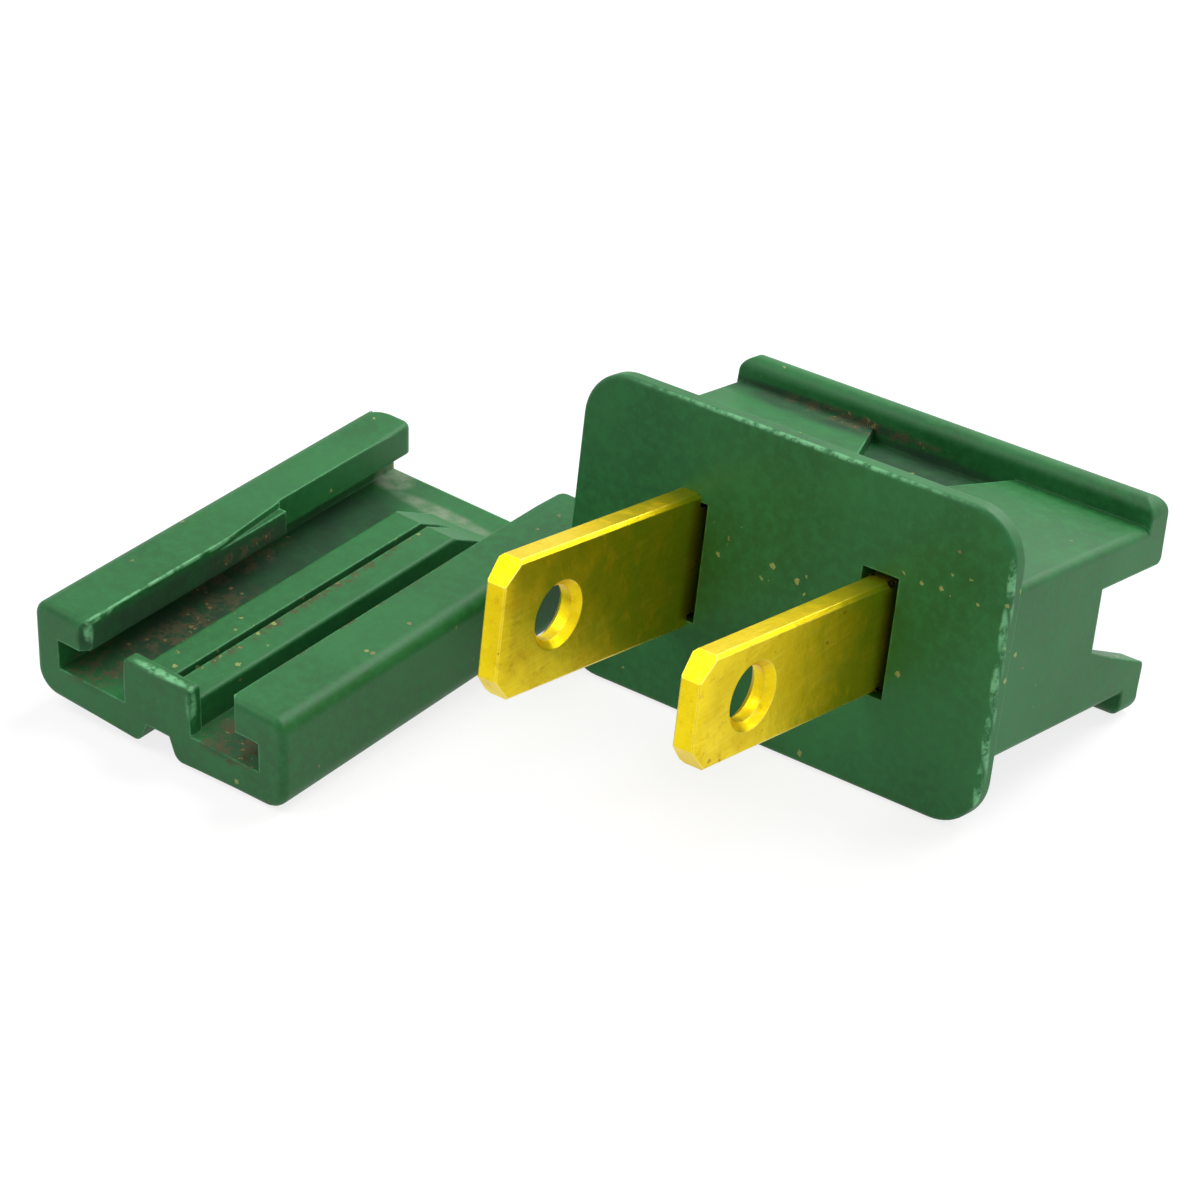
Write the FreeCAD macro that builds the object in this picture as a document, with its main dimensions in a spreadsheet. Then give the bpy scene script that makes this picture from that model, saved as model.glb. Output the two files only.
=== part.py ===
import FreeCAD, Part
import math
import os
import Sketcher

os.makedirs("parts", exist_ok=True)
doc = FreeCAD.newDocument("slide_on_plug")
sheet = doc.addObject("Spreadsheet::Sheet", "dims")
SAME = 0.02     # two lengths closer than this are the same
FLAT = 0.01     # an edge shorter than this along an axis lies across it
TINY = 1e-6     # rounding error

# Driving sizes in millimetres and degrees, one row each.
SIZES = [
    ("blade_spacing", 12.7),        # centre to centre of the two contact blades
    ("blade_thick", 1.5),
    ("blade_reach", 16.3),          # flange face to blade tip
    ("wide_width", 7.92),
    ("narrow_width", 6.35),
    ("tip_cut_along", 1.15),        # corner cut at the tip, along the blade
    ("tip_cut_across", 1.3),
    ("blade_edge", 0.2),            # bevel round the wide faces
    ("tip_taper_along", 0.9),       # shallow thinning at the tip, both wide faces
    ("tip_taper_depth", 0.12),
    ("tip_edge", 0.08),
    ("pin_hole_dia", 3.1),
    ("pin_rim_dia", 3.9),
    ("pin_from_tip", 4.6),
    ("stem_width", 6.3),            # part of each blade inside the body
    ("tooth_height", 2.3),          # piercing teeth above the channel floor
    ("tooth_pitch", 1.1),
    ("tooth_first", 0.55),
    ("flange_width", 28.4),
    ("flange_height", 17.9),
    ("flange_thick", 1.1),
    ("flange_corner", 2.9),
    ("flange_edge", 0.3),
    ("flange_back_edge", 0.15),
    ("slot_width", 2.35),
    ("slot_height", 7.0),
    ("slot_depth", 4.5),
    ("slot_spacing", 12.6),
    ("stem_play", 0.05),            # all round each stem in its pocket
    ("block_width", 28.0),
    ("neck_height", 9.94),
    ("block_depth", 16.0),          # flange face to the open end of the arms
    ("rail_thick", 1.75),
    ("rail_reach", 6.5),            # centre plane to the outer edge of a rail
    ("rail_front_round", 0.8),
    ("rail_back_round", 0.9),
    ("rail_end_round", 1.1),
    ("neck_end_round", 0.5),
    ("channel_floor", 10.0),        # flange face to the bottom of the cord channel
    ("channel_half", 3.2),          # half width at the bottom
    ("channel_mouth", 3.9),         # half width at the open side
    ("gate_thick", 1.3),            # narrowed end of the channel
    ("gate_top", 2.55),
    ("gate_low_in", 1.15),
    ("gate_low_mid", 2.03),
    ("gate_low_mid_at", 12.2),
    ("gate_low_out", 3.35),
    ("gate_round", 0.4),            # at the open side
    ("latch_depth", 0.8),           # recess in the top of the neck
    ("latch_centre", 0.45),
    ("latch_half_back", 4.8),
    ("latch_half_front", 2.2),
    ("latch_from", 8.4),
    ("cover_length", 27.9),
    ("cover_width", 18.5),
    ("cover_height", 5.9),
    ("cover_floor", 2.07),
    ("cover_low_round", 1.5),
    ("cover_top_round", 0.95),
    ("cover_end_round", 1.75),      # outer corners at the far end, seen from above
    ("lip_corner_round", 0.6),      # inner corners of the lips at the far end
    ("neck_play", 0.38),            # each side, neck to the edges of the cover's lips
    ("rail_play_side", 0.95),       # each side, rail edge to the pocket wall
    ("rail_play_thick", 0.12),      # rail thickness to pocket height
    ("underside_half", 1.35),
    ("underside_top_half", 0.85),
    ("underside_depth", 1.35),
    ("underside_round", 0.7),
    ("rib_play", 0.1),              # each side, end wall to the channel's narrowed end
    ("rib_height", 5.0),
    ("rib_thick", 0.9),
    ("rib_round", 0.3),
    ("strip_half", 2.3),
    ("strip_height", 4.0),
    ("strip_end", 22.0),
    ("ramp_end", 25.6),
    ("ramp_foot_round", 3.0),
    ("strip_gap", 0.5),
    ("strip_gap_floor", 2.9),
    ("catch_start", 10.7),
    ("catch_end", 16.2),
    ("catch_relief", 0.6),          # how far the lip steps back behind the catch
    ("catch_step", 0.45),
    ("catch_shave", 0.5),
    ("lead_in", 0.45),
    ("cover_roll", 3.0),
    ("cover_pitch", 1.2),
    ("cover_yaw", 0.38),
    ("cover_gap", 1.4),             # between the cover's side and the body's end, as they lie
    ("cover_at_y", -22.626),        # cover's near end, from the middle of the flange face
    ("let_in", 0.5),                # how deep a joined part is rooted in its neighbour
    ("overrun", 1.0),               # how far a cut runs past the material
]
# Sizes that follow from the ones above.
DERIVED = [
    ("half_thick", "=blade_thick / 2"),
    ("wide_half", "=wide_width / 2"),
    ("narrow_half", "=narrow_width / 2"),
    ("wide_tip_half", "=wide_width / 2 - tip_cut_across"),
    ("narrow_tip_half", "=narrow_width / 2 - tip_cut_across"),
    ("tip_start", "=blade_reach - tip_cut_along"),
    ("pin_from_face", "=blade_reach - pin_from_tip"),
    ("taper_from", "=blade_reach - tip_taper_along"),
    ("taper_half", "=blade_thick / 2 - tip_taper_depth"),
    ("past_thick", "=blade_thick / 2 + overrun"),
    ("past_wide", "=wide_width + 2 * overrun"),
    ("stem_half", "=stem_width / 2"),
    ("tooth_root", "=channel_floor - let_in"),
    ("tooth_tip", "=channel_floor + tooth_height"),
    ("tooth_a", "=tooth_first"),
    ("tooth_b", "=tooth_first + 0.5 * tooth_pitch"),
    ("tooth_c", "=tooth_first + tooth_pitch"),
    ("tooth_d", "=tooth_first + 1.5 * tooth_pitch"),
    ("tooth_e", "=tooth_first + 2 * tooth_pitch"),
    ("flange_half_w", "=flange_width / 2"),
    ("flange_half_h", "=flange_height / 2"),
    ("slot_in", "=slot_spacing / 2 - slot_width / 2"),
    ("slot_out", "=slot_spacing / 2 + slot_width / 2"),
    ("slot_half_h", "=slot_height / 2"),
    ("pocket_in", "=blade_spacing / 2 - blade_thick / 2 - stem_play"),
    ("pocket_out", "=blade_spacing / 2 + blade_thick / 2 + stem_play"),
    ("pocket_half_h", "=stem_width / 2 + stem_play"),
    ("neck_half", "=neck_height / 2"),
    ("rail_front", "=block_depth - rail_thick"),
    ("neck_run", "=block_depth - rail_thick - flange_edge"),
    ("block_half", "=block_width / 2"),
    ("past_depth", "=block_depth + overrun"),
    ("past_width", "=block_width + 2 * overrun"),
    ("past_block", "=block_width / 2 + overrun"),
    ("past_rail", "=rail_reach + overrun"),
    ("rail_round_x", "=block_width / 2 - rail_end_round"),
    ("rail_round_z", "=rail_reach - rail_end_round"),
    ("rail_end_cut", "=rail_thick + overrun"),
    ("gate_from", "=block_width / 2 - gate_thick"),
    ("gate_root", "=channel_mouth + let_in"),
    ("latch_back_low", "=latch_centre - latch_half_back"),
    ("latch_back_high", "=latch_centre + latch_half_back"),
    ("latch_front_low", "=latch_centre - latch_half_front"),
    ("latch_front_high", "=latch_centre + latch_half_front"),
    ("cover_half", "=cover_width / 2"),
    ("cover_at_x", "=-(block_width / 2 + cover_width / 2 + cover_gap)"),
    ("lip_edge", "=neck_height / 2 + neck_play"),
    ("lip_far_edge", "=neck_height / 2 + neck_play + catch_relief"),
    ("lip_shave_edge", "=neck_height / 2 + neck_play + catch_shave"),
    ("pocket_edge", "=rail_reach + rail_play_side"),
    ("pocket_roof", "=cover_floor + rail_thick + rail_play_thick"),
    ("rib_half", "=gate_top - rib_play"),
    ("over_top", "=cover_height + overrun"),
    ("past_end", "=cover_length + overrun"),
    ("past_side", "=cover_width / 2 + overrun"),
    ("end_round_x", "=cover_width / 2 - cover_end_round"),
    ("end_round_y", "=cover_length - cover_end_round"),
    ("through_height", "=cover_height + 2 * overrun"),
    ("relief_depth", "=over_top - pocket_roof"),
    ("strip_span", "=2 * strip_half"),
]
row = 1
for name, value in SIZES:
    sheet.set("A%d" % row, str(value))
    sheet.setAlias("A%d" % row, name)
    row += 1
doc.recompute()
for name, formula in DERIVED:
    sheet.set("A%d" % row, formula)
    sheet.setAlias("A%d" % row, name)
    row += 1
doc.recompute()


def size(name):
    """Number held by a sheet row; a leading minus turns its sign."""
    if name == "0":
        return 0.0
    if name.startswith("-"):
        return -float(sheet.get(name[1:]))
    return float(sheet.get(name))


def link(name):
    """Expression text for a sheet row."""
    if name.startswith("-"):
        return "-dims." + name[1:]
    return "dims." + name


def plane(body, role):
    """The body's own origin plane with this role."""
    return [f for f in body.Origin.OriginFeatures if f.Role == role][0]


def new_body(name):
    """An empty body with its label."""
    body = doc.addObject("PartDesign::Body", name)
    body.Label = name
    return body


def sketch_on(body, name, role, shift=None):
    """A sketch flat on an origin plane, shifted along its normal by a sheet row."""
    sk = body.newObject("Sketcher::SketchObject", name)
    sk.AttachmentSupport = [(plane(body, role), "")]
    sk.MapMode = "FlatFace"
    if shift is not None:
        sk.AttachmentOffset = FreeCAD.Placement(FreeCAD.Vector(0, 0, size(shift)), FreeCAD.Rotation())
        sk.setExpression("AttachmentOffset.Base.z", link(shift))
    return sk


def outline(sk, corners):
    """A closed polygon through corners, each coordinate bound to its sheet row."""
    first = sk.GeometryCount
    count = len(corners)
    pts = [FreeCAD.Vector(size(x), size(y), 0) for x, y in corners]
    for i in range(count):
        sk.addGeometry(Part.LineSegment(pts[i], pts[(i + 1) % count]), False)
    for i in range(count):
        sk.addConstraint(Sketcher.Constraint("Coincident", first + i, 2, first + (i + 1) % count, 1))
    for i, (x, y) in enumerate(corners):
        bind_point(sk, first + i, 1, x, y)


def rounded_corner(sk, across, up, x_names, y_names, radius):
    """The waste outside a rounded corner: four straight sides and an arc.

    x_names and y_names hold the rows of the corner itself, the arc's centre and a place beyond the corner.
    """
    x_side, x_in, x_past = [across + name for name in x_names]
    y_end, y_in, y_past = [up + name for name in y_names]
    places = [(x_side, y_in), (x_past, y_in), (x_past, y_past), (x_in, y_past), (x_in, y_end)]
    pts = [FreeCAD.Vector(size(x), size(y), 0) for x, y in places]
    first = sk.GeometryCount
    for i in range(4):
        sk.addGeometry(Part.LineSegment(pts[i], pts[i + 1]), False)
    r = size(radius)
    middle = FreeCAD.Vector(size(x_in), size(y_in), 0)
    quarter = math.pi / 2
    turns = [["", ""], ["-", ""], ["-", "-"], ["", "-"]].index([across, up])
    ring = Part.Circle(middle, FreeCAD.Vector(0, 0, 1), r)
    arc = Part.ArcOfCircle(ring, turns * quarter, (turns + 1) * quarter)
    sk.addGeometry(arc, False)
    for i in range(3):
        sk.addConstraint(Sketcher.Constraint("Coincident", first + i, 2, first + i + 1, 1))
    at_start = sk.getPoint(first + 4, 1).distanceToPoint(pts[4]) < TINY
    sk.addConstraint(Sketcher.Constraint("Coincident", first + 3, 2, first + 4, 1 if at_start else 2))
    sk.addConstraint(Sketcher.Constraint("Coincident", first, 1, first + 4, 2 if at_start else 1))
    ends = [(first, 1), (first + 1, 1), (first + 2, 1), (first + 3, 1), (first + 3, 2)]
    for (geo, end), (x, y) in zip(ends, places):
        bind_point(sk, geo, end, x, y)
    index = sk.addConstraint(Sketcher.Constraint("Radius", first + 4, r))
    sk.setExpression("Constraints[%d]" % index, link(radius))


def bind_point(sk, geo, end, x, y):
    """Holds one sketch point at two sheet rows measured from the sketch's origin."""
    for kind, term, axis in (("DistanceX", x, -2), ("DistanceY", y, -1)):
        if term == "0":
            sk.addConstraint(Sketcher.Constraint("PointOnObject", geo, end, axis))
            continue
        value = size(term)
        if value < 0:
            ends = (geo, end, -1, 1)
            shown = term[1:] if term.startswith("-") else "-" + term
        else:
            ends = (-1, 1, geo, end)
            shown = term
        index = sk.addConstraint(Sketcher.Constraint(kind, ends[0], ends[1], ends[2], ends[3], abs(value)))
        sk.setExpression("Constraints[%d]" % index, link(shown))


def circle(sk, x, y, diameter):
    """A circle with its centre and diameter bound to sheet rows."""
    at = FreeCAD.Vector(size(x), size(y), 0)
    index = sk.addGeometry(Part.Circle(at, FreeCAD.Vector(0, 0, 1), size(diameter) / 2), False)
    num = sk.addConstraint(Sketcher.Constraint("Diameter", index, size(diameter)))
    sk.setExpression("Constraints[%d]" % num, link(diameter))
    bind_point(sk, index, 3, x, y)


def pad(body, sk, name, length, both=False, back=False):
    """Material from a sketch; both sides of it or turned round where asked."""
    feat = body.newObject("PartDesign::Pad", name)
    feat.Profile = sk
    feat.Length = size(length)
    feat.setExpression("Length", link(length))
    feat.Midplane = both
    feat.Reversed = back
    doc.recompute()
    return feat


def pocket(body, sk, name, length, both=False, back=False):
    """A cut from a sketch, checked to take material away."""
    before = body.Shape.Volume
    feat = body.newObject("PartDesign::Pocket", name)
    feat.Profile = sk
    feat.Length = size(length)
    feat.setExpression("Length", link(length))
    feat.Midplane = both
    feat.Reversed = back
    doc.recompute()
    if feat.Shape.Volume > before - TINY:
        feat.Reversed = not back
        doc.recompute()
    return feat


def near(value, target):
    """True where two lengths agree."""
    return abs(value - target) < SAME


def along_x(b):
    """True for the box of a straight edge along X."""
    return b.YLength < FLAT and b.ZLength < FLAT


def along_y(b):
    """True for the box of a straight edge along Y."""
    return b.XLength < FLAT and b.ZLength < FLAT


def along_z(b):
    """True for the box of a straight edge along Z."""
    return b.XLength < FLAT and b.YLength < FLAT


def edges_where(body, test):
    """Names of the edges of the body's shape whose box passes a test."""
    found = []
    for i, edge in enumerate(body.Shape.Edges):
        if test(edge.BoundBox):
            found.append("Edge%d" % (i + 1))
    return found


def soften(body, name, kind, amount, test):
    """A fillet or chamfer on every edge that passes the test."""
    names = edges_where(body, test)
    base = body.Tip
    feat = body.newObject(kind, name)
    feat.Base = (base, names)
    field = "Radius" if kind.endswith("Fillet") else "Size"
    setattr(feat, field, size(amount))
    feat.setExpression(field, link(amount))
    doc.recompute()
    if "Invalid" in feat.State:
        raise RuntimeError("edges not softened: %s %s" % (name, names))
    return feat


# Plug body: flange, neck and two arms with rails, one moulding.
body = new_body("plug_body")
sk = sketch_on(body, "flange_outline", "XZ_Plane")
outline(sk, [("-flange_half_w", "-flange_half_h"), ("flange_half_w", "-flange_half_h"),
             ("flange_half_w", "flange_half_h"), ("-flange_half_w", "flange_half_h")])
feat = pad(body, sk, "flange", "flange_thick", back=True)
soften(body, "flange_corners", "PartDesign::Fillet", "flange_corner", along_y)
soften(body, "flange_front_rim", "PartDesign::Fillet", "flange_edge",
       lambda b: near(b.YMax, 0))
soften(body, "flange_back_rim", "PartDesign::Fillet", "flange_back_edge",
       lambda b: near(b.YMin, size("flange_thick")))
sk = sketch_on(body, "neck_outline", "XZ_Plane", "-flange_edge")
outline(sk, [("-block_half", "-neck_half"), ("block_half", "-neck_half"),
             ("block_half", "neck_half"), ("-block_half", "neck_half")])
pad(body, sk, "neck", "neck_run", back=True)
soften(body, "neck_ends", "PartDesign::Fillet", "neck_end_round",
       lambda b: along_y(b) and near(abs(b.XMin), size("block_half")))
sk = sketch_on(body, "rail_profile", "YZ_Plane")
outline(sk, [("rail_front", "-rail_reach"), ("block_depth", "-rail_reach"),
             ("block_depth", "rail_reach"), ("rail_front", "rail_reach")])
pad(body, sk, "rails", "block_width", both=True)
soften(body, "rail_fronts", "PartDesign::Fillet", "rail_front_round",
       lambda b: along_x(b) and near(abs(b.ZMin), size("rail_reach")) and near(b.YMin, size("rail_front")))
soften(body, "rail_backs", "PartDesign::Fillet", "rail_back_round",
       lambda b: along_x(b) and near(abs(b.ZMin), size("rail_reach")) and near(b.YMin, size("block_depth")))
sk = sketch_on(body, "rail_end_outline", "XZ_Plane", "-past_depth")
for across in ("", "-"):
    for up in ("", "-"):
        rounded_corner(sk, across, up, ("block_half", "rail_round_x", "past_block"),
                       ("rail_reach", "rail_round_z", "past_rail"), "rail_end_round")
pocket(body, sk, "rail_ends", "rail_end_cut", back=True)
sk = sketch_on(body, "channel_profile", "YZ_Plane")
outline(sk, [("channel_floor", "-channel_half"), ("block_depth", "-channel_mouth"),
             ("past_depth", "-channel_mouth"), ("past_depth", "channel_mouth"),
             ("block_depth", "channel_mouth"), ("channel_floor", "channel_half")])
pocket(body, sk, "cord_channel", "past_width", both=True)
sk = sketch_on(body, "gate_upper", "YZ_Plane", "gate_from")
outline(sk, [("channel_floor", "gate_top"), ("block_depth", "gate_top"),
             ("block_depth", "gate_root"), ("channel_floor", "gate_root")])
pad(body, sk, "gate_upper_wall", "gate_thick")
sk = sketch_on(body, "gate_lower", "YZ_Plane", "gate_from")
outline(sk, [("channel_floor", "-gate_root"), ("block_depth", "-gate_root"), ("block_depth", "-gate_low_out"),
             ("gate_low_mid_at", "-gate_low_mid"), ("channel_floor", "-gate_low_in")])
pad(body, sk, "gate_lower_wall", "gate_thick")
soften(body, "gate_mouth", "PartDesign::Fillet", "gate_round",
       lambda b: along_x(b) and near(b.XLength, size("gate_thick")) and near(b.YMin, size("block_depth"))
       and (near(b.ZMin, size("gate_top")) or near(b.ZMax, -size("gate_low_out"))))
sk = sketch_on(body, "latch_outline", "XY_Plane", "neck_half")
outline(sk, [("latch_front_low", "latch_from"), ("latch_front_high", "latch_from"),
             ("latch_back_high", "rail_front"), ("latch_back_low", "rail_front")])
pocket(body, sk, "latch_recess", "latch_depth")
sk = sketch_on(body, "slot_outlines", "XZ_Plane")
for sign in ("", "-"):
    outline(sk, [(sign + "slot_in", "-slot_half_h"), (sign + "slot_out", "-slot_half_h"),
                 (sign + "slot_out", "slot_half_h"), (sign + "slot_in", "slot_half_h")])
pocket(body, sk, "blade_slots", "slot_depth")
sk = sketch_on(body, "stem_outlines", "XZ_Plane")
for sign in ("", "-"):
    outline(sk, [(sign + "pocket_in", "-pocket_half_h"), (sign + "pocket_out", "-pocket_half_h"),
                 (sign + "pocket_out", "pocket_half_h"), (sign + "pocket_in", "pocket_half_h")])
pocket(body, sk, "stem_pockets", "channel_floor")


def blade(name, half, tip_half, teeth_side):
    """One stamped contact: outer blade with pin hole, stem and piercing teeth."""
    part = new_body(name)
    sk = sketch_on(part, name + "_outline", "YZ_Plane")
    outline(sk, [("-blade_reach", "-" + tip_half), ("-tip_start", "-" + half), ("0", "-" + half),
                 ("0", half), ("-tip_start", half), ("-blade_reach", tip_half)])
    pad(part, sk, name + "_outer", "blade_thick", both=True)
    sk = sketch_on(part, name + "_taper_outline", "XY_Plane")
    for sign in ("", "-"):
        outline(sk, [(sign + "half_thick", "-taper_from"), (sign + "taper_half", "-blade_reach"),
                     (sign + "past_thick", "-blade_reach"), (sign + "past_thick", "-taper_from")])
    pocket(part, sk, name + "_tip_taper", "past_wide", both=True)
    just_out = -size("blade_edge")
    soften(part, name + "_bevels", "PartDesign::Chamfer", "blade_edge",
           lambda b: b.YMax > just_out and b.YMin < just_out and b.XLength < FLAT)
    tip_at = -size("blade_reach")
    soften(part, name + "_tip_edges", "PartDesign::Chamfer", "tip_edge",
           lambda b: along_z(b) and near(b.YMax, tip_at) and b.ZLength > size("tip_cut_across"))
    sk = sketch_on(part, name + "_stem_outline", "YZ_Plane")
    outline(sk, [("0", "-stem_half"), ("channel_floor", "-stem_half"),
                 ("channel_floor", "stem_half"), ("0", "stem_half")])
    pad(part, sk, name + "_stem", "blade_thick", both=True)
    sk = sketch_on(part, name + "_teeth_outline", "YZ_Plane")
    outline(sk, [("tooth_root", teeth_side + "tooth_a"), ("channel_floor", teeth_side + "tooth_a"),
                 ("tooth_tip", teeth_side + "tooth_b"), ("channel_floor", teeth_side + "tooth_c"),
                 ("tooth_tip", teeth_side + "tooth_d"), ("channel_floor", teeth_side + "tooth_e"),
                 ("tooth_root", teeth_side + "tooth_e")])
    pad(part, sk, name + "_teeth", "blade_thick", both=True)
    sk = sketch_on(part, name + "_pin_outline", "YZ_Plane")
    circle(sk, "-pin_from_face", "0", "pin_hole_dia")
    pocket(part, sk, name + "_pin_hole", "blade_spacing", both=True)
    rim = part.newObject("PartDesign::Chamfer", name + "_pin_rim")
    names = edges_where(part, lambda b: b.XLength < FLAT and near(b.YLength, size("pin_hole_dia"))
                        and near(b.ZLength, size("pin_hole_dia")))
    rim.Base = (part.getObject(name + "_pin_hole"), names)
    rim.Size = (size("pin_rim_dia") - size("pin_hole_dia")) / 2
    rim.setExpression("Size", "(dims.pin_rim_dia - dims.pin_hole_dia) / 2")
    doc.recompute()
    return part


wide = blade("wide_blade", "wide_half", "wide_tip_half", "")
narrow = blade("narrow_blade", "narrow_half", "narrow_tip_half", "-")

# Slide-on cover, one moulding.
cover = new_body("slide_cover")
sk = sketch_on(cover, "cover_section", "XZ_Plane")
outline(sk, [("-cover_half", "0"), ("-underside_half", "0"), ("-underside_top_half", "underside_depth"),
             ("underside_top_half", "underside_depth"), ("underside_half", "0"), ("cover_half", "0"),
             ("cover_half", "cover_height"), ("lip_edge", "cover_height"), ("lip_edge", "pocket_roof"),
             ("pocket_edge", "pocket_roof"), ("pocket_edge", "cover_floor"), ("-pocket_edge", "cover_floor"),
             ("-pocket_edge", "pocket_roof"), ("-lip_edge", "pocket_roof"), ("-lip_edge", "cover_height"),
             ("-cover_half", "cover_height")])
pad(cover, sk, "cover_channel", "cover_length", back=True)
soften(cover, "cover_low_edges", "PartDesign::Fillet", "cover_low_round",
       lambda b: along_y(b) and near(abs(b.XMin), size("cover_half")) and near(b.ZMin, 0))
soften(cover, "cover_top_edges", "PartDesign::Fillet", "cover_top_round",
       lambda b: along_y(b) and near(abs(b.XMin), size("cover_half")) and near(b.ZMin, size("cover_height")))
sk = sketch_on(cover, "far_corner_outline", "XY_Plane", "over_top")
for across in ("", "-"):
    rounded_corner(sk, across, "", ("cover_half", "end_round_x", "past_side"),
                   ("cover_length", "end_round_y", "past_end"), "cover_end_round")
pocket(cover, sk, "far_corners", "through_height")
soften(cover, "underside_mouth", "PartDesign::Fillet", "underside_round",
       lambda b: along_y(b) and near(abs(b.XMin), size("underside_half")) and near(b.ZMin, 0))
sk = sketch_on(cover, "ramp_profile", "YZ_Plane")
outline(sk, [("rib_thick", "underside_depth"), ("rib_thick", "strip_height"), ("strip_end", "strip_height"),
             ("ramp_end", "cover_floor"), ("ramp_end", "underside_depth")])
pad(cover, sk, "strip_and_ramp", "strip_span", both=True)
soften(cover, "ramp_foot", "PartDesign::Fillet", "ramp_foot_round",
       lambda b: along_x(b) and near(b.YMin, size("ramp_end")) and near(b.ZMin, size("cover_floor"))
       and near(b.XLength, size("strip_span")))
sk = sketch_on(cover, "end_wall_outline", "XZ_Plane")
outline(sk, [("-rib_half", "underside_depth"), ("rib_half", "underside_depth"),
             ("rib_half", "rib_height"), ("-rib_half", "rib_height")])
pad(cover, sk, "end_wall", "rib_thick", back=True)
soften(cover, "end_wall_corners", "PartDesign::Fillet", "rib_round",
       lambda b: near(b.YLength, size("rib_thick")) and near(abs(b.XMin), size("rib_half"))
       and near(b.ZMin, size("rib_height")))
sk = sketch_on(cover, "strip_gap_profile", "YZ_Plane")
outline(sk, [("rib_thick", "strip_gap_floor"), ("past_end", "strip_gap_floor"),
             ("past_end", "over_top"), ("rib_thick", "over_top")])
pocket(cover, sk, "strip_groove", "strip_gap", both=True)
sk = sketch_on(cover, "catch_relief_outline", "XY_Plane", "over_top")
outline(sk, [("-lip_far_edge", "catch_end"), ("0", "catch_end"),
             ("0", "past_end"), ("-lip_far_edge", "past_end")])
pocket(cover, sk, "catch_relief_cut", "relief_depth")
sk = sketch_on(cover, "catch_step_outline", "XY_Plane", "cover_height")
outline(sk, [("-lip_edge", "catch_start"), ("-lip_edge", "catch_end"), ("-lip_shave_edge", "catch_end")])
pocket(cover, sk, "catch_step_cut", "catch_step")
soften(cover, "lip_far_corners", "PartDesign::Fillet", "lip_corner_round",
       lambda b: along_z(b) and near(b.YMin, size("cover_length")) and b.ZLength > size("lead_in")
       and (near(b.XMin, -size("lip_far_edge")) or near(b.XMin, size("lip_edge"))))
soften(cover, "lip_leads", "PartDesign::Chamfer", "lead_in",
       lambda b: along_z(b) and near(b.YMin, 0) and near(abs(b.XMin), size("lip_edge"))
       and b.ZLength > size("lead_in"))


def contact_tilt():
    """Lean of the plug body when it rests on the flange's lower rim and the lower rail."""
    r1 = size("flange_back_edge")
    r2 = size("rail_front_round")
    y1 = size("flange_thick") - r1
    z1 = -(size("flange_half_h") - r1)
    y2 = size("rail_front") + r2
    z2 = -(size("rail_reach") - r2)
    span = math.hypot(y2 - y1, z2 - z1)
    return math.degrees(math.atan2(z2 - z1, y2 - y1) - math.asin((r2 - r1) / span))


def box_of(shape):
    """Tight box round a shape."""
    return shape.optimalBoundingBox(True, False)


def place(part, at, turn):
    """Sets one sub-part's placement."""
    part.Placement = FreeCAD.Placement(at, turn)
    doc.recompute()


# The plug body rests on two of its edges, and the cover on its underside.
lean = contact_tilt()
turn = FreeCAD.Rotation(FreeCAD.Vector(1, 0, 0), -lean)
place(body, FreeCAD.Vector(0, 0, 0), turn)
face_middle = FreeCAD.Vector(0, 0, -box_of(body.Shape).ZMin)
spin = FreeCAD.Rotation(FreeCAD.Vector(0, 0, 1), size("cover_yaw"))
spin = spin.multiply(FreeCAD.Rotation(FreeCAD.Vector(0, 1, 0), size("cover_roll")))
spin = spin.multiply(FreeCAD.Rotation(FreeCAD.Vector(1, 0, 0), size("cover_pitch")))
near_end = FreeCAD.Vector(size("cover_at_x"), size("cover_at_y"), 0)
place(cover, near_end, spin)
near_end = near_end + FreeCAD.Vector(0, 0, -box_of(cover.Shape).ZMin)
place(cover, near_end, spin)

# The origin lies on the table, in the middle of everything.
place(body, face_middle, turn)
boxes = [box_of(body.Shape), box_of(cover.Shape)]
for part, sign in ((wide, -1), (narrow, 1)):
    offset = turn.multVec(FreeCAD.Vector(sign * size("blade_spacing") / 2, 0, 0))
    place(part, face_middle + offset, turn)
    boxes.append(box_of(part.Shape))
middle_x = (min(b.XMin for b in boxes) + max(b.XMax for b in boxes)) / 2
middle_y = (min(b.YMin for b in boxes) + max(b.YMax for b in boxes)) / 2
shift = FreeCAD.Vector(-middle_x, -middle_y, 0)
for part in (body, wide, narrow, cover):
    place(part, part.Placement.Base + shift, part.Placement.Rotation)

for obj in doc.Objects:
    if "Invalid" in obj.State or "Error" in obj.State:
        raise RuntimeError("feature not rebuilt: " + obj.Name)
for node in (body, wide, narrow, cover):
    shape = node.Shape
    if shape.isNull() or not shape.isValid() or len(shape.Solids) != 1:
        raise RuntimeError("not one sound solid: " + node.Label)
    shape.exportStep("parts/%s.step" % node.Label)
    box = box_of(shape)
    print(node.Label, "volume %.1f" % shape.Volume, "box %.2f %.2f %.2f to %.2f %.2f %.2f" % (
        box.XMin, box.YMin, box.ZMin, box.XMax, box.YMax, box.ZMax))
print("lean %.3f" % lean, "flange face middle", body.Placement.Base, "cover near end", cover.Placement.Base)
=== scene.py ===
import math

import bmesh
import bpy
from mathutils import Euler, Matrix, Vector


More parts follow.
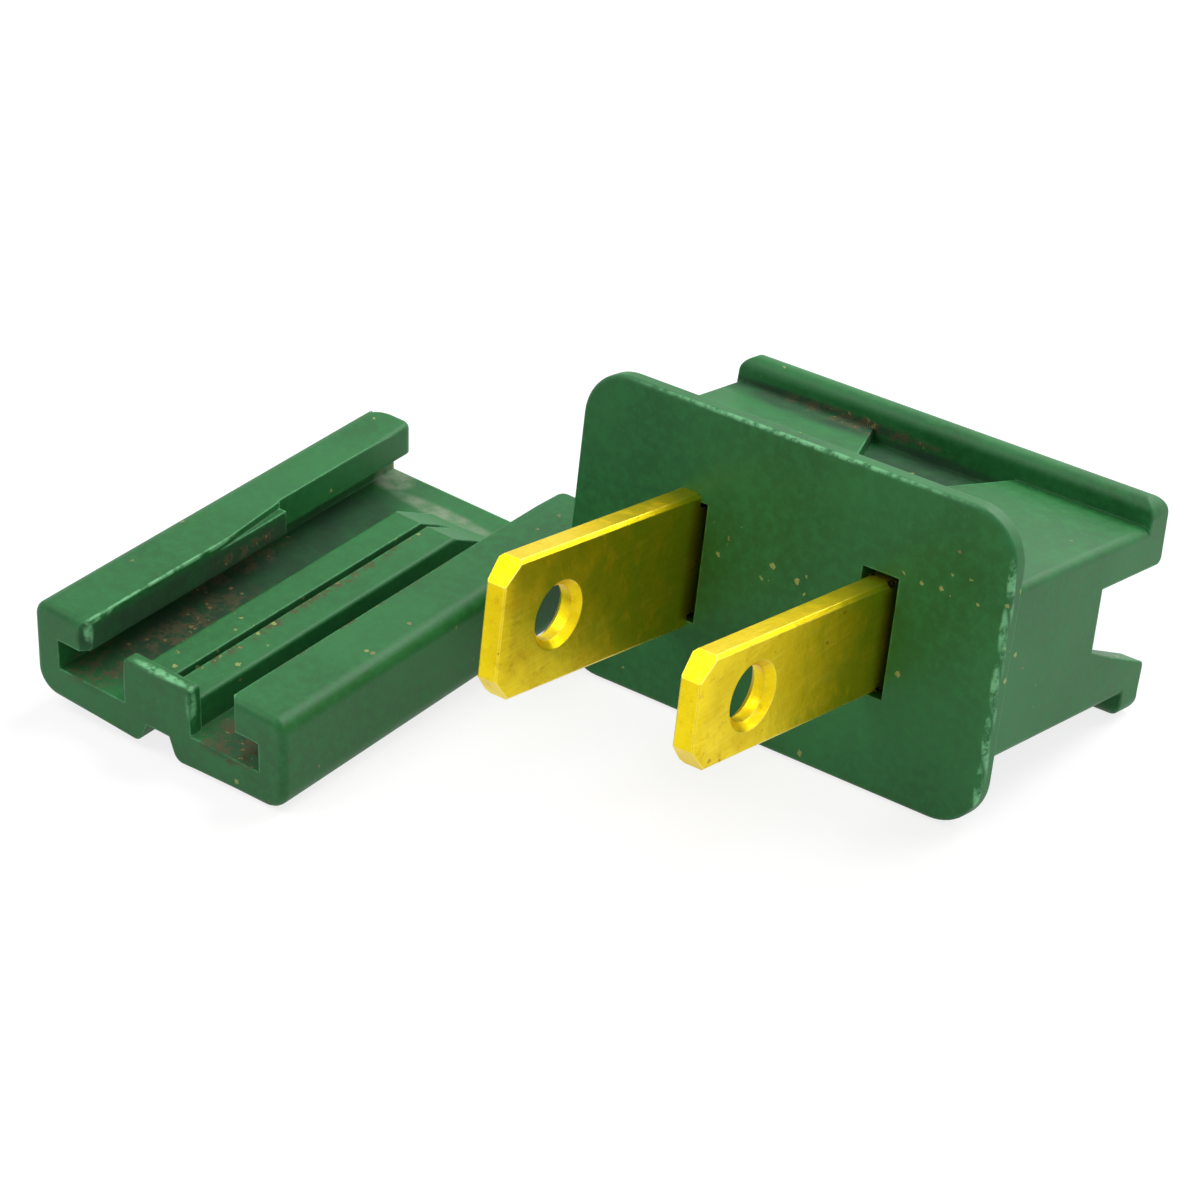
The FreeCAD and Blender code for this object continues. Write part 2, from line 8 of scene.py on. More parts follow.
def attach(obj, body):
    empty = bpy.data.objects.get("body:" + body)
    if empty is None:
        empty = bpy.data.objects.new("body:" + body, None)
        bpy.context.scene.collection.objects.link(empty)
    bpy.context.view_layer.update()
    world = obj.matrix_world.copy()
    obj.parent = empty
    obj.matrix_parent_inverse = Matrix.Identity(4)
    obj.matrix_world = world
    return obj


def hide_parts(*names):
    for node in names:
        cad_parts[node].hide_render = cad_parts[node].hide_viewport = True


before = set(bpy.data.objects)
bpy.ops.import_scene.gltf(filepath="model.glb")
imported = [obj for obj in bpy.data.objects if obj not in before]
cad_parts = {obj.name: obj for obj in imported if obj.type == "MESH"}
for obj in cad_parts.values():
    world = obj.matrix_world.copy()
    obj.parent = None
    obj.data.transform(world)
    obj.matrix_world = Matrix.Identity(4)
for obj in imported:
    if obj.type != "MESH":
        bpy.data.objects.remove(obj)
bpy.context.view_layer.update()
MM = 0.001

# The camera: its place in millimetres from the middle of the flange face, its turn about Z and its dip in
# radians, its focal length in pixels of the image, its sensor in millimetres, and how near and far it sees,
# in metres.
CAMERA_FROM_FACE = (106.488, -146.702, 106.894)
CAMERA_TURN = -0.68
CAMERA_DIP = 0.5347
CAMERA_FOCAL_PX = 3922.6
IMAGE_PX = 1200
SENSOR_WIDTH = 36
NEAREST_SEEN = 0.01
FARTHEST_SEEN = 10

# How the two mouldings lie: the middle of the flange face and the body's lean, the middle of the cover's
# near end and its turns about X, Y and Z.
FACE_MIDDLE = (9.8779, 3.0348, 8.9931)
BODY_TURN = Euler((math.radians(-9.819), 0, 0)).to_matrix()
COVER_END = (-14.7721, -19.5912, 0.4077)
COVER_TURN = Euler((math.radians(1.2), math.radians(3.0), math.radians(0.38))).to_matrix()

# How the solids' meshes are joined and shaded: points nearer than this, in metres, are one, faces turned less
# than this are one flat, and edges turned more than this are sharp.
SAME_POINT = 1e-6
FLAT_TURN = math.radians(0.6)
SHARP_TURN = math.radians(26)

# The far part of the cover's left pressing strip is a hair low in the solid: a box round it, and the height
# and end that it should have.
LOW_STRIP = ((-2.31, 16.1, 3.9), (-0.24, 22.2, 3.97))
STRIP_TOP = 4.0
STRIP_END = 22.0

# Edges that the real mouldings have rounded, each in so many steps: the rounding, then boxes that hold the
# middles of those edges, in the piece's own millimetres. A box serves left and right alike, and on the body
# the lower rail too.
ROUND_STEPS = 4
BODY_ROUNDS = [
    (0.1, [((12.5, 14.2, 4.9), (14.1, 16.1, 6.6))]),             # ends of the rails
]
COVER_ROUNDS = [
    (0.45, [((7.9, -0.03, -1), (10, 0.03, 7)),                   # near end: sides
            ((5.9, -0.03, 5.85), (8, 0.03, 6)),                  # near end: tops of the lips
            ((2.1, -0.03, -0.1), (8, 0.03, 0.05))]),             # near end: underside
    (0.4, [((0, 25.9, 5.85), (10, 28.2, 6))]),                   # far end: tops of the lips
    (0.3, [((2.1, 25.9, -0.1), (10, 28.2, 0.05))]),              # far end: underside
    (0.25, [((2.27, 1, 3.97), (2.33, 22, 4.03))]),               # outer edges of the pressing strips
    (0.12, [((5.3, 0.5, 5.85), (5.4, 26.9, 5.95))]),             # inner edges of the lips
    (0.1, [((0, -0.05, 4.6), (2.5, 1, 5.1))]),                   # top of the end wall
]

# Where the mould's flash and the painted edge highlights stand out, in the piece's own millimetres: on the
# flange's side and top, and along the inner edges of the cover's lips.
FLANGE_SIDE = 14.1
FLANGE_TOP = 8.95
LIP_EDGE = 5.35

# Where the narrow blade's softened edges end at its square stem, in millimetres: the blade's middle along the
# body, how far its corners lie from that along and up, and the reach of the painted shade on each corner.
NARROW_BLADE_MIDDLE = 6.35
STEM_CORNER = (0.69, 3.09)
STEM_SHADE_REACH = (0.34, 0.34, 0.34)

# Colours of the green plastic, of what lies on it and of the light and shade painted on it, as screen values.
GREEN_DEEP = (24, 90, 40)
GREEN_WORN = (34, 106, 52)
GREEN_MOTTLE = (46, 126, 66)
# Painted edge highlight.
GREEN_PAINTED_HIGHLIGHT = (104, 190, 128)
# Flash, partly a painted edge highlight.
GREEN_FLASH_AND_HIGHLIGHT = (122, 194, 138)
# Dirt and painted shade in the hollows.
HOLLOW_DIRT_AND_SHADE = (52, 58, 38)
# Painted shade in channels, pockets and along the rail.
SHADE_GREEN = (36, 60, 43)
GRIT = (86, 82, 56)
# Dust film that is partly a painted highlight.
DUST_FILM_AND_HIGHLIGHT = (160, 168, 148)
PALE_SPECK = (158, 166, 96)
CRUMB = (146, 130, 84)

# Colours of the brass and of the light and shade painted on it, as screen values.
BRASS_BRIGHT = (236, 210, 22)
BRASS_DULL = (216, 188, 12)
BRASS_ROLLED = (255, 238, 90)
# Painted edge highlight.
BRASS_PAINTED_HIGHLIGHT = (255, 244, 150)
BRASS_TARNISH = (164, 116, 12)
BRASS_SPOT = (120, 82, 14)
# Painted shade where the narrow blade meets its stem.
BRASS_PAINTED_SHADE = (44, 34, 10)

# Lamps: name, then place, aim, width and height in millimetres, and power in watts.
LAMPS = [
    ("high_behind", (30, 140, 200), (5, 0, 5), 200, 140, 0.46),
    ("high_left", (-140, -110, 260), (0, 0, 5), 180, 180, 0.3),
    ("low_behind", (45, 125, 78), (10, 0, 5), 170, 110, 0.08),
    ("right_side", (300, -40, 160), (0, 0, 5), 200, 200, 0.1),
    ("front_fill", (-60, -330, 160), (0, 0, 5), 260, 160, 0.12),
]

# The floor, in metres: half its side and how far it lies under the part. Its grey for scattered light, its
# grey and glow where it is looked at, and the strength of the room as a light.
FLOOR_HALF = 1.2
FLOOR_DROP = 0.00002
FLOOR_GREY = 0.85
FLOOR_SEEN_GREY = 0.28
FLOOR_SEEN_GLOW = 0.8
ROOM_LIGHT = 0.25


def on_body(along, back, up):
    """Row place, in metres, of a point given in the plug body's own millimetres."""
    return (Vector(FACE_MIDDLE) + BODY_TURN @ Vector((along, back, up))) * MM


def on_cover(across, along, up):
    """Row place, in metres, of a point given in the cover's own millimetres."""
    return (Vector(COVER_END) + COVER_TURN @ Vector((across, along, up))) * MM


def from_body(place):
    """The plug body's own millimetres, along, back and up, of a row place in metres."""
    return BODY_TURN.transposed() @ (place / MM - Vector(FACE_MIDDLE))


def from_cover(place):
    """The cover's own millimetres, across, along and up, of a row place in metres."""
    return COVER_TURN.transposed() @ (place / MM - Vector(COVER_END))


def set_camera():
    """A pinhole camera at the measured place: right, up and view axes from a turn about Z and a dip."""
    turn, dip = CAMERA_TURN, CAMERA_DIP
    right = Vector((math.cos(turn), -math.sin(turn), 0))
    ahead = Vector((math.cos(dip) * math.sin(turn), math.cos(dip) * math.cos(turn), -math.sin(dip)))
    up = right.cross(ahead)
    place = (Vector(FACE_MIDDLE) + Vector(CAMERA_FROM_FACE)) * MM
    turned = Matrix((right, up, -ahead)).transposed().to_4x4()
    data = bpy.data.cameras.new("camera")
    data.sensor_width = SENSOR_WIDTH
    data.lens = CAMERA_FOCAL_PX / IMAGE_PX * SENSOR_WIDTH
    data.clip_start = NEAREST_SEEN
    data.clip_end = FARTHEST_SEEN
    camera = bpy.data.objects.new("camera", data)
    camera.matrix_world = Matrix.Translation(place) @ turned
    bpy.context.scene.collection.objects.link(camera)
    bpy.context.scene.camera = camera


def area_lamp(name, place, aim, wide, high, watts):
    """A soft rectangular white lamp at a place in millimetres, facing another."""
    data = bpy.data.lights.new(name, "AREA")
    data.shape = "RECTANGLE"
    data.size = wide * MM
    data.size_y = high * MM
    data.energy = watts
    lamp = bpy.data.objects.new(name, data)
    at = Vector(place) * MM
    direction = Vector(aim) * MM - at
    lamp.matrix_world = Matrix.Translation(at) @ direction.to_track_quat("-Z", "Y").to_matrix().to_4x4()
    bpy.context.scene.collection.objects.link(lamp)


def colour(shade):
    """A colour given in screen values, 0 to 255, as the shader's linear one."""
    parts = [c / 255 for c in shade]
    return tuple(p / 12.92 if p <= 0.04045 else ((p + 0.055) / 1.055) ** 2.4 for p in parts) + (1.0,)


def grey(level):
    """A grey of this linear level."""
    return (level, level, level, 1)


class Graph:
    """Short calls for adding and joining the nodes of one tree."""

    def __init__(self, tree):
        self.tree = tree
        self.nodes = tree.nodes
        self.nodes.clear()

    def add(self, kind, settings=None, **values):
        """A node of this kind; a value that is a socket is joined, any other is set."""
        node = self.nodes.new(kind)
        for name, value in (settings or {}).items():
            setattr(node, name, value)
        for name, value in values.items():
            self.put(node, name, value)
        return node

    def put(self, node, name, value):
        """Sets or joins one input, named or numbered."""
        socket = node.inputs[int(name)] if name.isdigit() else node.inputs[name]
        if isinstance(value, bpy.types.NodeSocket):
            self.tree.links.new(value, socket)
        else:
            socket.default_value = value

    def math(self, what, first, second=0.0, clamp=False):
        """One arithmetic step."""
        node = self.nodes.new("ShaderNodeMath")
        node.operation = what
        node.use_clamp = clamp
        self.put(node, "0", first)
        self.put(node, "1", second)
        return node.outputs[0]

    def vector_math(self, what, *values):
        """One step of arithmetic on vectors, and the node's outputs."""
        node = self.add("ShaderNodeVectorMath", {"operation": what})
        for number, value in enumerate(values):
            self.put(node, str(number), value)
        return node.outputs

    def total(self, *parts):
        """The sum of values, each times its weight."""
        amount = 0.0
        for value, weight in parts:
            amount = self.math("ADD", amount, self.math("MULTIPLY", value, weight))
        return amount

    def ramp(self, value, low, high, to_low=0.0, to_high=1.0):
        """The value carried from one range to another, held at its ends, with a soft start and stop."""
        node = self.nodes.new("ShaderNodeMapRange")
        node.interpolation_type = "SMOOTHSTEP"
        for name, number in (("Value", value), ("From Min", low), ("From Max", high), ("To Min", to_low),
                             ("To Max", to_high)):
            self.put(node, name, number)
        return node.outputs[0]

    def mix(self, share, first, second):
        """A colour between two colours."""
        node = self.nodes.new("ShaderNodeMix")
        node.data_type = "RGBA"
        self.put(node, "0", share)
        self.put(node, "6", first)
        self.put(node, "7", second)
        return node.outputs[2]

    def lay(self, base, shade, mask, share=1.0):
        """A shade laid over a colour where the mask says, by this share at most."""
        return self.mix(self.math("MULTIPLY", mask, share), base, colour(shade))

    def noise(self, place, scale, detail=2.0, rough=0.5):
        """Soft noise, 0 to 1, at so many lumps a metre."""
        node = self.add("ShaderNodeTexNoise", None, Vector=place, Scale=scale, Detail=detail, Roughness=rough)
        return node.outputs["Fac"]

    def by_view(self, scattered, seen):
        """One shader for scattered light, another for what is seen straight, mirrored or through glass."""
        ray = self.nodes.new("ShaderNodeLightPath")
        direct = self.math("MAXIMUM", ray.outputs["Is Camera Ray"], ray.outputs["Is Glossy Ray"])
        direct = self.math("MAXIMUM", direct, ray.outputs["Is Transmission Ray"])
        pick = self.nodes.new("ShaderNodeMixShader")
        for number, value in enumerate((direct, scattered, seen)):
            self.put(pick, str(number), value)
        return pick.outputs[0]


def new_group(name, inputs, outputs):
    """A shader node group with its sockets, and the graph to fill it."""
    tree = bpy.data.node_groups.new(name, "ShaderNodeTree")
    for title, kind, value in inputs:
        socket = tree.interface.new_socket(name=title, in_out="INPUT", socket_type=kind)
        if value is not None:
            socket.default_value = value
    for title, kind in outputs:
        tree.interface.new_socket(name=title, in_out="OUTPUT", socket_type=kind)
    graph = Graph(tree)
    start = graph.nodes.new("NodeGroupInput")
    end = graph.nodes.new("NodeGroupOutput")
    return tree, graph, start.outputs, end


def specks_group():
    """Small scattered grains: a ragged spot in some of the cells of a random division of space.

    Ragged noise moves each place by up to 0.3 mm first. A cell is chosen by its random value, and its spot
    reaches out by a third to all of Radius, a share of the cell.
    """
    tree, g, start, end = new_group(
        "specks",
        [("Place", "NodeSocketVector", None), ("Cells", "NodeSocketFloat", 900.0),
         ("Share", "NodeSocketFloat", 0.2), ("Radius", "NodeSocketFloat", 0.12)],
        [("Mask", "NodeSocketFloat")])
    ragged = g.add("ShaderNodeTexNoise", None, Vector=start["Place"], Scale=7000.0, Detail=2.0)
    moved = g.vector_math("MULTIPLY_ADD", ragged.outputs["Color"], (0.0003, 0.0003, 0.0003), start["Place"])
    cells = g.add("ShaderNodeTexVoronoi", None, Vector=moved[0], Scale=start["Cells"])
    parts = g.add("ShaderNodeSeparateColor", None, Color=cells.outputs["Color"])
    chosen = g.math("LESS_THAN", parts.outputs[0], start["Share"])
    reach = g.math("MULTIPLY", g.ramp(parts.outputs[1], 0.0, 1.0, 0.35, 1.0), start["Radius"])
    spot = g.math("SUBTRACT", reach, cells.outputs["Distance"])
    g.put(end, "Mask", g.math("MULTIPLY", g.ramp(spot, 0.0, 0.06), chosen))
    return tree


def near_group():
    """A soft egg-shaped patch: full up to half its reach from the centre, and gone at its reach."""
    tree, g, start, end = new_group(
        "near", [("Place", "NodeSocketVector", None), ("Centre", "NodeSocketVector", None),
                 ("Reach", "NodeSocketVector", None)], [("Mask", "NodeSocketFloat")])
    away = g.vector_math("SUBTRACT", start["Place"], start["Centre"])
    share = g.vector_math("DIVIDE", away[0], start["Reach"])
    far = g.vector_math("LENGTH", share[0])
    g.put(end, "Mask", g.ramp(far["Value"], 0.5, 1.0, 1.0, 0.0))
    return tree


def wear_group():
    """Edges and hollows of a piece.

    Soft Normal is the normal of the piece with its edges rounded off. Edge is how far it turns from the flat
    normal, and is 1 from Full Edge on. It counts only where a wall lies close inside the piece, which leaves
    creases out. Hollow is how closed in a point is.
    """
    tree, g, start, end = new_group(
        "edges_and_hollows",
        [("Edge Size", "NodeSocketFloat", 0.0002), ("Full Edge", "NodeSocketFloat", 0.2),
         ("Hollow Reach", "NodeSocketFloat", 0.002)],
        [("Soft Normal", "NodeSocketVector"), ("Edge", "NodeSocketFloat"), ("Hollow", "NodeSocketFloat")])
    rounded = g.add("ShaderNodeBevel", {"samples": 5}, Radius=start["Edge Size"])
    flat = g.add("ShaderNodeNewGeometry")
    turned = g.vector_math("DOT_PRODUCT", rounded.outputs[0], flat.outputs["Normal"])
    lost = g.math("SUBTRACT", 1.0, turned["Value"])
    closed = g.add("ShaderNodeAmbientOcclusion", {"samples": 6}, Distance=start["Hollow Reach"])
    reach = g.math("MULTIPLY", start["Edge Size"], 2.0)
    inner = g.add("ShaderNodeAmbientOcclusion", {"samples": 4, "inside": True}, Distance=reach)
    outward = g.ramp(inner.outputs["AO"], 0.72, 0.97, 1.0, 0.0)
    edge = g.ramp(lost, 0.02, start["Full Edge"])
    g.put(end, "Soft Normal", rounded.outputs[0])
    g.put(end, "Edge", g.math("MULTIPLY", edge, outward))
    g.put(end, "Hollow", g.math("SUBTRACT", 1.0, closed.outputs["AO"], clamp=True))
    return tree


def new_material(name):
    """An empty material, its graph, its surface shader and the object coordinates."""
    material = bpy.data.materials.new(name)
    material.use_nodes = True
    g = Graph(material.node_tree)
    out = g.nodes.new("ShaderNodeOutputMaterial")
    shader = g.nodes.new("ShaderNodeBsdfPrincipled")
    g.put(out, "Surface", shader.outputs[0])
    place = g.nodes.new("ShaderNodeTexCoord").outputs["Object"]
    return material, g, shader, place


def patches(g, groups, place, spots):
    """The largest of several soft patches: each has a centre in metres and a reach in millimetres."""
    largest = 0.0
    for centre, reach in spots:
        patch = g.add("ShaderNodeGroup", {"node_tree": groups["near"]}, Place=place, Centre=centre,
                      Reach=Vector(reach) * MM)
        largest = g.math("MAXIMUM", largest, patch.outputs[0])
    return largest


def grains(g, groups, place, cells, share, radius):
    """Scattered specks at so many cells a metre, in this share of the cells."""
    node = g.add("ShaderNodeGroup", {"node_tree": groups["specks"]}, Place=place, Cells=cells, Share=share,
                 Radius=radius)
    return node.outputs[0]


def worn(g, groups, edge_size, full_edge, hollow_reach=0.002):
    """The softened normal, the edge mask and the hollow mask of a piece, with sizes in metres."""
    node = g.add("ShaderNodeGroup", {"node_tree": groups["edge_hollow"]})
    for title, value in (("Edge Size", edge_size), ("Full Edge", full_edge), ("Hollow Reach", hollow_reach)):
        g.put(node, title, value)
    return node.outputs["Soft Normal"], node.outputs["Edge"], node.outputs["Hollow"]


def relief(g, shader, height, deep, normal):
    """Fine relief of this depth, in metres, over the softened normal."""
    bump = g.add("ShaderNodeBump", None, Strength=0.4, Distance=deep, Height=height, Normal=normal)
    g.put(shader, "Normal", bump.outputs[0])


def green_plastic(name, groups, marks):
    """Satin green moulding: clouded colour, painted edge highlights, dirt and painted shade in the hollows,
    pale specks, grit, and flash partly painted as an edge highlight.

    marks holds lists of patches: dusty, where specks crowd, gritty, where brown grit lies, painted_shade,
    where painted shade darkens a channel, pale, where a dust film is partly a painted highlight, and
    flash_and_highlight, where the mould's flash and a painted edge highlight stand out.
    """
    material, g, shader, place = new_material(name)
    spread = {title: patches(g, groups, place, spots) for title, spots in marks.items()}
    soft_normal, edge, hollow = worn(g, groups, edge_size=0.00018, full_edge=0.15, hollow_reach=0.0022)
    clouds = g.noise(place, 130.0, 3.0, 0.55)
    fine = g.noise(place, 1700.0, 5.0, 0.7)
    base = g.mix(g.ramp(clouds, 0.3, 0.7), colour(GREEN_DEEP), colour(GREEN_WORN))
    base = g.lay(base, GREEN_MOTTLE, g.ramp(fine, 0.38, 0.7), 0.42)
    # Painted highlight along the edges.
    base = g.lay(base, GREEN_PAINTED_HIGHLIGHT, g.math("MULTIPLY", edge, g.ramp(fine, 0.3, 0.6, 0.4, 0.95)))

    mottled = g.ramp(g.noise(place, 620.0, 5.0, 0.7), 0.4, 0.62)
    # Darker where the hollow mask is high: dirt and painted shade.
    hollow_dirt_and_shade = g.math("MULTIPLY", g.math("MULTIPLY", mottled, g.ramp(hollow, 0.4, 0.85)), 0.4)
    base = g.lay(base, HOLLOW_DIRT_AND_SHADE, hollow_dirt_and_shade)
    uneven = g.ramp(g.noise(place, 520.0, 4.0, 0.65), 0.25, 0.6, 0.45, 0.85)
    # Painted shade where the patches lie.
    painted_shade_mask = g.math("MULTIPLY", spread["painted_shade"], uneven)
    base = g.lay(base, SHADE_GREEN, painted_shade_mask)
    lumps = g.ramp(g.noise(place, 1500.0, 4.0, 0.7), 0.45, 0.58)
    grit = g.math("MULTIPLY", spread["gritty"], lumps)
    base = g.lay(base, GRIT, grit, 0.8)
    patchy = g.ramp(g.noise(place, 900.0, 3.0, 0.6), 0.3, 0.65, 0.25, 1.0)
    # Dust film, partly a painted highlight.
    dust_film_and_highlight = g.math("MULTIPLY", spread["pale"], patchy)
    base = g.lay(base, DUST_FILM_AND_HIGHLIGHT, dust_film_and_highlight, 0.55)

    speck_share = g.math("ADD", 0.01, g.math("MULTIPLY", spread["dusty"], 0.3))
    specks = grains(g, groups, place, cells=1700.0, share=speck_share, radius=0.34)
    base = g.lay(base, PALE_SPECK, specks, 0.8)
    crumb_share = g.math("ADD", 0.006, g.math("MULTIPLY", grit, 0.6))
    crumbs = grains(g, groups, place, cells=2300.0, share=crumb_share, radius=0.38)
    base = g.lay(base, CRUMB, crumbs, 0.75)
    ragged = g.ramp(g.noise(place, 1300.0, 4.0, 0.65), 0.38, 0.58)
    # Flash and a painted edge highlight.
    flash_and_highlight_mask = g.math("MULTIPLY", g.math("MULTIPLY", spread["flash_and_highlight"], ragged), 0.85)
    base = g.lay(base, GREEN_FLASH_AND_HIGHLIGHT, flash_and_highlight_mask)
    g.put(shader, "Base Color", base)

    # Dirt, dust and painted shade all roughen the surface.
    dirt_and_shade = g.math("MAXIMUM", g.math("MAXIMUM", hollow_dirt_and_shade, grit), g.math("MAXIMUM", dust_film_and_highlight, painted_shade_mask))
    rough = g.ramp(fine, 0.25, 0.75, 0.42, 0.55)
    g.put(shader, "Roughness", g.math("ADD", rough, g.math("MULTIPLY", dirt_and_shade, 0.4), clamp=True))
    skin = g.noise(place, 3800.0, 3.0, 0.5)
    waves = g.noise(place, 260.0, 1.0, 0.4)
    height = g.total((waves, 1.0), (skin, 0.25), (specks, 0.8), (crumbs, 0.8), (grit, 0.6), (flash_and_highlight_mask, 0.6))
    relief(g, shader, height, deep=0.00006, normal=soft_normal)
    shader.inputs["IOR"].default_value = 1.5
    shader.inputs["Specular IOR Level"].default_value = 0.3
    return material


def brass(name, groups, corners):
    """Stamped sheet brass: roll lines along the blade, clouded tarnish, small dark spots and painted edge
    highlights.

    corners is a list of patches of painted shade on the brass.
    """
    material, g, shader, place = new_material(name)
    soft_normal, edge, _ = worn(g, groups, edge_size=0.00009, full_edge=0.07)
    stretched = g.add("ShaderNodeMapping", None, Vector=place, Scale=(1.0, 0.06, 1.0))
    lines = g.noise(stretched.outputs[0], 5200.0, 3.0, 0.6)
    clouds = g.noise(place, 330.0, 4.0, 0.6)
    base = g.mix(g.ramp(clouds, 0.3, 0.72), colour(BRASS_BRIGHT), colour(BRASS_DULL))
    base = g.lay(base, BRASS_ROLLED, g.ramp(lines, 0.45, 0.8), 0.25)
    # Painted highlight along the edges.
    base = g.lay(base, BRASS_PAINTED_HIGHLIGHT, edge, 0.8)
    tarnish = g.math("MULTIPLY", g.ramp(g.noise(place, 1300.0, 5.0, 0.72), 0.52, 0.74), 0.42)
    base = g.lay(base, BRASS_TARNISH, tarnish)
    spots = grains(g, groups, place, cells=2100.0, share=0.035, radius=0.3)
    base = g.lay(base, BRASS_SPOT, spots, 0.5)
    # Painted shade on the stem corners.
    base = g.lay(base, BRASS_PAINTED_SHADE, patches(g, groups, place, corners))
    g.put(shader, "Base Color", base)
    shader.inputs["Metallic"].default_value = 1.0
    rough = g.math("ADD", g.ramp(clouds, 0.3, 0.7, 0.34, 0.44), g.math("MULTIPLY", tarnish, 0.3))
    g.put(shader, "Roughness", rough)
    height = g.total((lines, 0.6), (spots, -0.8), (g.noise(place, 900.0, 3.0, 0.6), 1.6))
    relief(g, shader, height, deep=0.00004, normal=soft_normal)
    return material


def in_box(place, low, high):
    """True where a place lies in a box given by its two corners."""
    return all(a <= p <= b for a, p, b in zip(low, place, high))


def level_strip(work):
    """Brings the low part of the left pressing strip level with the rest of it."""
    for vert in work.verts:
        place = from_cover(vert.co)
        if in_box(place, *LOW_STRIP):
            vert.co = on_cover(place.x, min(place.y, STRIP_END), STRIP_TOP)
    bmesh.ops.remove_doubles(work, verts=work.verts, dist=SAME_POINT)


def round_edges(work, own_place, rows):
    """Rounds the sharp edges whose middles, with left as right and below as above, lie in the rows' boxes."""
    for radius, boxes in rows:
        chosen = []
        for edge in work.edges:
            middle = own_place((edge.verts[0].co + edge.verts[1].co) / 2)
            middle.x = abs(middle.x)
            middle.z = abs(middle.z)
            inside = any(in_box(middle, low, high) for low, high in boxes)
            if inside and edge.calc_face_angle(0) > SHARP_TURN:
                chosen.append(edge)
        bmesh.ops.bevel(work, geom=chosen, offset=radius * MM, segments=ROUND_STEPS, profile=0.5,
                        affect="EDGES", clamp_overlap=False)


def moulded_copy(node, name, own_place, rows):
    """A joined copy of a CAD node with some of its edges rounded, standing for that node."""
    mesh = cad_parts[node].data.copy()
    mesh.name = name
    copy = bpy.data.objects.new(name, mesh)
    bpy.context.scene.collection.objects.link(copy)
    work = bmesh.new()
    work.from_mesh(mesh)
    bmesh.ops.remove_doubles(work, verts=work.verts, dist=SAME_POINT)
    if node == "slide_cover":
        level_strip(work)
    bmesh.ops.dissolve_limit(work, angle_limit=FLAT_TURN, verts=work.verts, edges=work.edges)
    round_edges(work, own_place, rows)
    for face in work.faces:
        face.smooth = True
    for edge in work.edges:
        edge.smooth = edge.calc_face_angle(0) < SHARP_TURN
    work.to_mesh(mesh)
    work.free()
    old_normals = mesh.attributes.get("custom_normal")
    if old_normals:
        mesh.attributes.remove(old_normals)
    level = copy.modifiers.new("flat_faces", "WEIGHTED_NORMAL")
    level.keep_sharp = True
    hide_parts(node)
    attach(copy, "root")
    return copy


def give(piece, material):
    """The piece wears this material all over."""
    piece.data.materials.clear()
    piece.data.materials.append(material)


def white_floor():
    """A wide pale table top that shows white to the camera and keeps soft shadows."""
    half, low = FLOOR_HALF, -FLOOR_DROP
    corners = [(-half, -half, low), (half, -half, low), (half, half, low), (-half, half, low)]
    mesh = bpy.data.meshes.new("floor")
    mesh.from_pydata(corners, [], [(0, 1, 2, 3)])
    floor = bpy.data.objects.new("floor", mesh)
    bpy.context.scene.collection.objects.link(floor)
    material = bpy.data.materials.new("floor")
    material.use_nodes = True
    g = Graph(material.node_tree)
    out = g.nodes.new("ShaderNodeOutputMaterial")
    matt = g.add("ShaderNodeBsdfDiffuse", None, Color=grey(FLOOR_GREY))
    seen = g.add("ShaderNodeBsdfDiffuse", None, Color=grey(FLOOR_SEEN_GREY))
    glow = g.add("ShaderNodeEmission", None, Color=grey(1), Strength=FLOOR_SEEN_GLOW)
    both = g.nodes.new("ShaderNodeAddShader")
    g.put(both, "0", seen.outputs[0])
    g.put(both, "1", glow.outputs[0])
    g.put(out, "Surface", g.by_view(matt.outputs[0], both.outputs[0]))
    mesh.materials.append(material)


def white_room():
    """A white surround for the camera and for reflections, dimmer as a light."""
    world = bpy.data.worlds.new("room")
    bpy.context.scene.world = world
    world.use_nodes = True
    g = Graph(world.node_tree)
    out = g.nodes.new("ShaderNodeOutputWorld")
    dim = g.add("ShaderNodeBackground", None, Color=grey(1), Strength=ROOM_LIGHT)
    white = g.add("ShaderNodeBackground", None, Color=grey(1), Strength=1.0)
    g.put(out, "Surface", g.by_view(dim.outputs[0], white.outputs[0]))


def light_it():
    """Soft lamps high behind and high to the left, and weak ones low behind, to the right and in front."""
    for lamp in LAMPS:
        area_lamp(*lamp)


def plug_body_marks():
    """Where dirt, flash, painted shade and painted edge highlights lie on the plug body: centres, and reaches
    in millimetres.
    """
    flash_and_highlight = [(on_body(FLANGE_SIDE, 0, up), (0.3, 0.32, 3.4)) for up in (-6, -3, 0, 3, 6)]
    # Painted highlight along the flange's top edge.
    flash_and_highlight.append((on_body(0, 0, FLANGE_TOP), (15, 0.32, 0.26)))
    return {
        "dusty": [(on_body(-2, 0, 1.4), (5, 1, 3)), (on_body(10.6, 0, 4.2), (3.4, 1, 0.9)),
                  (on_body(4.4, 0, 3), (1.6, 1, 1.2)), (on_body(14.2, 0.5, 3), (0.8, 1.5, 5))],
        "gritty": [(on_body(-5, 13.9, 5), (8, 0.9, 0.6))],
        # Painted shade on the neck top along the rail.
        "painted_shade": [(on_body(-8, 13.6, 4.9), (9, 3.2, 0.5)), (on_body(0.4, 13, 4.2), (6, 3.4, 0.5))],
        "pale": [],
        "flash_and_highlight": flash_and_highlight,
    }


